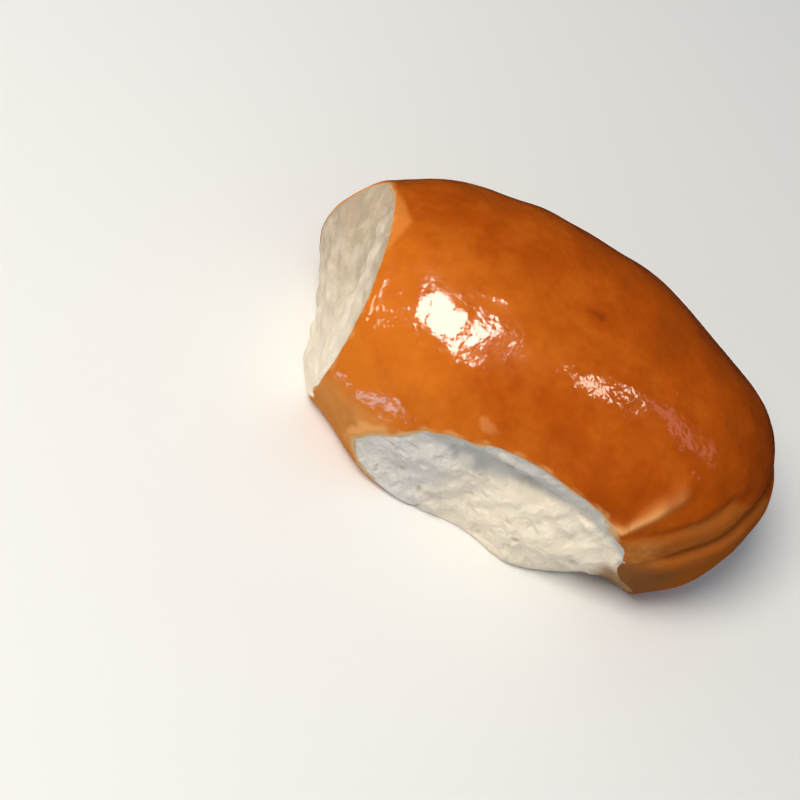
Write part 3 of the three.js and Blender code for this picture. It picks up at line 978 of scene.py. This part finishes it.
# Lamps: name, where it is, which way its long side runs, sizes, brightness, colour, mirrored.
LAMPS = [
    ("key lamp", (-0.36, -0.36, 0.86), (1, 0, 0), (0.35, 0.35), 19.5, WARM, False),
    ("front lamp", (0.05, -0.93, 0.36), (1, 0, 0), (0.9, 0.5), 0.5, COOL_WHITE, False),
    ("window", (-0.355, -0.26, 0.895), (0.24, 0.86, 0.45), (0.64, 0.25), 26.0, WHITE, True),
    ("small window", (0.268, 0.158, 0.95), (0.52, -0.85, 0.0), (0.15, 0.07), 20.0, SUNNY, True),
    ("dim window", (0.582, 0.218, 0.783), (0.76, -0.47, -0.46), (0.42, 0.15), 2.6, PINK, True),
    ("low window", (-0.351, -0.70, -0.622), (0.41, -0.71, 0.57), (0.26, 0.05), 8.0, BLUE, True),
    ("end window", (-0.745, -0.55, 0.37), (0.10, 0.50, 0.86), (0.34, 0.08), 16.0, SUNNY, True),
]


def view_axes():
    """The picture's right and up, and the way from the bun back to the camera."""
    a, e, r = VIEW_AZIMUTH, VIEW_ELEVATION, VIEW_ROLL
    back = Vector((math.sin(a) * math.cos(e), -math.cos(a) * math.cos(e), math.sin(e)))
    level = Vector((math.cos(a), math.sin(a), 0))
    rise = back.cross(level)
    right = level * math.cos(r) + rise * math.sin(r)
    up = rise * math.cos(r) - level * math.sin(r)
    return right, up, back


def make_camera():
    right, up, back = view_axes()
    eye = VIEW_AT + back * VIEW_DISTANCE
    # The picture's middle looks past the bun, which the photograph shows off to one side.
    aside = (IMAGE_SIZE / 2 - VIEW_AT_PIXEL[0]) / VIEW_FOCUS
    above = (VIEW_AT_PIXEL[1] - IMAGE_SIZE / 2) / VIEW_FOCUS
    axis = (back - right * aside - up * above).normalized()
    right = up.cross(axis).normalized()
    up = axis.cross(right)
    camera = bpy.data.objects.new("camera", bpy.data.cameras.new("camera"))
    camera.data.sensor_width = SENSOR_WIDTH
    camera.data.lens = VIEW_FOCUS / IMAGE_SIZE * SENSOR_WIDTH
    camera.data.clip_end = VIEW_REACH
    turned = Matrix((right, up, axis)).transposed()
    camera.matrix_world = Matrix.Translation(eye) @ turned.to_4x4()
    bpy.context.scene.collection.objects.link(camera)
    bpy.context.scene.camera = camera


def make_light(name, towards, long_way, size, brightness, shade, mirrored):
    """A soft rectangular lamp whose long side runs the long way. Its brightness is that of its face. The
    crust's gloss shows a mirrored lamp, and the other lamps give the light itself."""
    light = bpy.data.lights.new(name, "AREA")
    light.shape = "RECTANGLE"
    light.size, light.size_y = size
    light.energy = brightness * math.pi * size[0] * size[1]
    light.color = shade
    lamp = bpy.data.objects.new(name, light)
    lamp.visible_camera = False
    lamp.visible_glossy = mirrored
    lamp.visible_diffuse = not mirrored
    direction = Vector(towards).normalized()
    across = direction.cross(Vector(long_way)).normalized()
    facing = Matrix((across.cross(direction), across, direction)).transposed().to_4x4()
    lamp.matrix_world = Matrix.Translation(VIEW_AT + direction * LAMP_DISTANCE) @ facing
    bpy.context.scene.collection.objects.link(lamp)


def make_table():
    bm = bmesh.new()
    bmesh.ops.create_circle(bm, cap_ends=True, segments=64, radius=TABLE_RADIUS)
    table = as_piece("table", bm)
    material, tree, surface = new_material("pale table")
    surface.inputs["Base Color"].default_value = TABLE_COLOUR
    surface.inputs["Roughness"].default_value = 0.8
    table.data.materials.append(material)
    table.visible_glossy = False  # no white veil on the dark crust


def make_room():
    """Soft grey light all round, brighter above than at the horizon."""
    world = bpy.data.worlds.new("room")
    world.use_nodes = True
    bpy.context.scene.world = world
    tree = world.node_tree
    background = tree.nodes["Background"]
    place = node(tree, "ShaderNodeTexCoord", {}).outputs["Generated"]
    up = node(tree, "ShaderNodeSeparateXYZ", {0: place}).outputs[2]
    background.inputs["Color"].default_value = ROOM_COLOUR
    soft = remap(tree, up, *ROOM_RISE, *ROOM_LIGHT)
    in_gloss = node(tree, "ShaderNodeLightPath", {}).outputs["Is Glossy Ray"]
    dimmed = remap(tree, in_gloss, 0, 1, 1.0, ROOM_IN_GLOSS, "LINEAR")
    tree.links.new(sums(tree, "MULTIPLY", soft, dimmed), background.inputs["Strength"])


make_camera()
make_table()
make_room()
for lamp in LAMPS:
    make_light(*lamp)
bpy.context.scene.view_settings.view_transform = "Standard"
